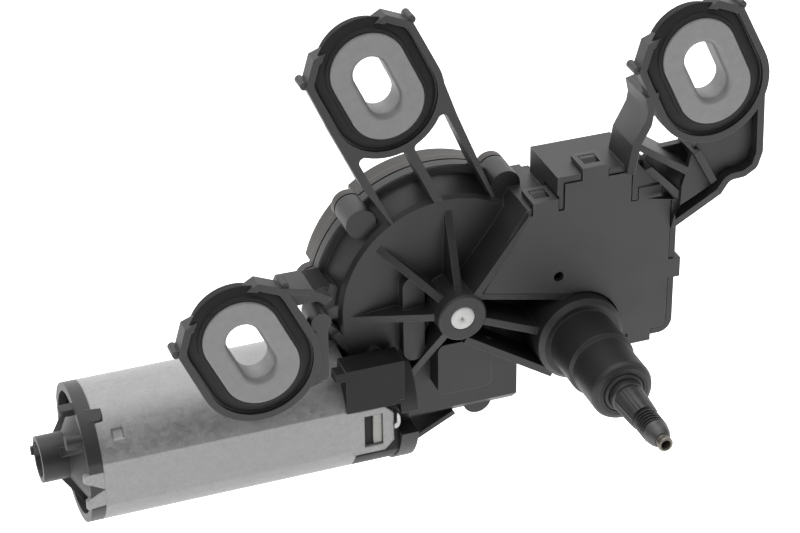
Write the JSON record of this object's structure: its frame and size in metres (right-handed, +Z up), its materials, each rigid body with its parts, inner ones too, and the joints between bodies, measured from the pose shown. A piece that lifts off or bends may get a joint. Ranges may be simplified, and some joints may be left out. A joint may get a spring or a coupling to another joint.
{
  "type": "rear wiper motor",
  "caption": "Rear wiper motor: electric motor with worm gear, oscillating linkage, hollow wiper spindle, control box and rubber-mounted ears.",
  "frame": {"origin": "on the wiper spindle's axis, in the plane of the shoulder at the foot of the nose", "axes": "-Y is the way the spindle points, X runs along the electric motor, Z is up"},
  "size_m": [0.2227, 0.1109, 0.157],
  "materials": {
    "housing_plastic": "moulded satin, fine texture",
    "cover_plastic": "moulded satin",
    "cap_plastic": "moulded satin",
    "brush_plastic": "moulded satin",
    "box_cover_plastic": "moulded satin",
    "wheel_plastic": "natural",
    "board_laminate": "coated",
    "carbon": "pressed",
    "gasket_rubber": "matte",
    "seal_rubber": "matte",
    "grommet_rubber": "matte",
    "can_steel": "galvanised",
    "sleeve_zinc": "zinc plated, dull",
    "screw_steel": "zinc plated",
    "bright_steel": "ground",
    "link_steel": "blanked",
    "spindle_steel": "phosphated",
    "worm_steel": "rolled",
    "core_iron": "laminated",
    "magnet_ferrite": "sintered",
    "bush_bronze": "sintered",
    "pin_brass": "tinned",
    "tube_brass": "drawn",
    "winding_copper": "enamelled wire",
    "commutator_copper": "turned"
  },
  "bodies": {
    "housing": {"gear_housing": "housing_plastic", "rear_cover": "cover_plastic", "gasket": "gasket_rubber", "cover_screws": "screw_steel", "wheel_axle": "bright_steel", "spindle_bushes": "bush_bronze", "spindle_seal": "seal_rubber", "motor_can": "can_steel", "end_cap": "cap_plastic", "brush_holder": "brush_plastic", "brushes": "carbon", "magnets": "magnet_ferrite", "shaft_bushes": "bush_bronze", "control_cover": "box_cover_plastic", "circuit_board": "board_laminate", "connector_pins": "pin_brass", "sleeve_top": "sleeve_zinc", "grommet_top": "grommet_rubber", "sleeve_right": "sleeve_zinc", "grommet_right": "grommet_rubber", "sleeve_left": "sleeve_zinc", "grommet_left": "grommet_rubber"},
    "armature": {"armature_shaft": "bright_steel", "armature_core": "core_iron", "armature_winding": "winding_copper", "commutator": "commutator_copper", "worm": "worm_steel"},
    "wheel": {"worm_wheel": "wheel_plastic", "crank_pin": "bright_steel"},
    "guide": {"guide_plate": "link_steel", "pivot_pin": "bright_steel"},
    "rod": {"sector_rod": "link_steel"},
    "spindle": {"spindle": "spindle_steel", "spindle_pinion": "link_steel", "washer_tube": "tube_brass"}
  },
  "joints": [
    {"name": "armature_spin", "type": "hinge", "parent": "housing", "child": "armature", "pos_m": [-0.0385, 0.028, -0.0211], "axis": [1, 0, 0], "continuous": true},
    {"name": "wheel_spin", "type": "hinge", "parent": "housing", "child": "wheel", "pos_m": [-0.0385, 0.028, 0.015], "axis": [0, -1, 0], "continuous": true},
    {"name": "spindle_turn", "type": "hinge", "parent": "housing", "child": "spindle", "pos_m": [0, 0, 0], "axis": [0, -1, 0], "range_deg": [0, 106.75]},
    {"name": "guide_swing", "type": "hinge", "parent": "housing", "child": "guide", "pos_m": [0, 0.037, 0], "axis": [0, -1, 0], "range_deg": [0, 48.02]},
    {"name": "rod_swing", "type": "hinge", "parent": "guide", "child": "rod", "pos_m": [0.00323, 0.035, 0.01974], "axis": [0, -1, 0], "range_deg": [-53.16, 0]}
  ],
  "couplings": [
    {"joint": "wheel_spin", "follows": "armature_spin", "ratio": -0.02},
    {"joint": "guide_swing", "follows": "spindle_turn", "ratio": 0.44973},
    {"joint": "rod_swing", "follows": "spindle_turn", "ratio": -0.49787}
  ]
}
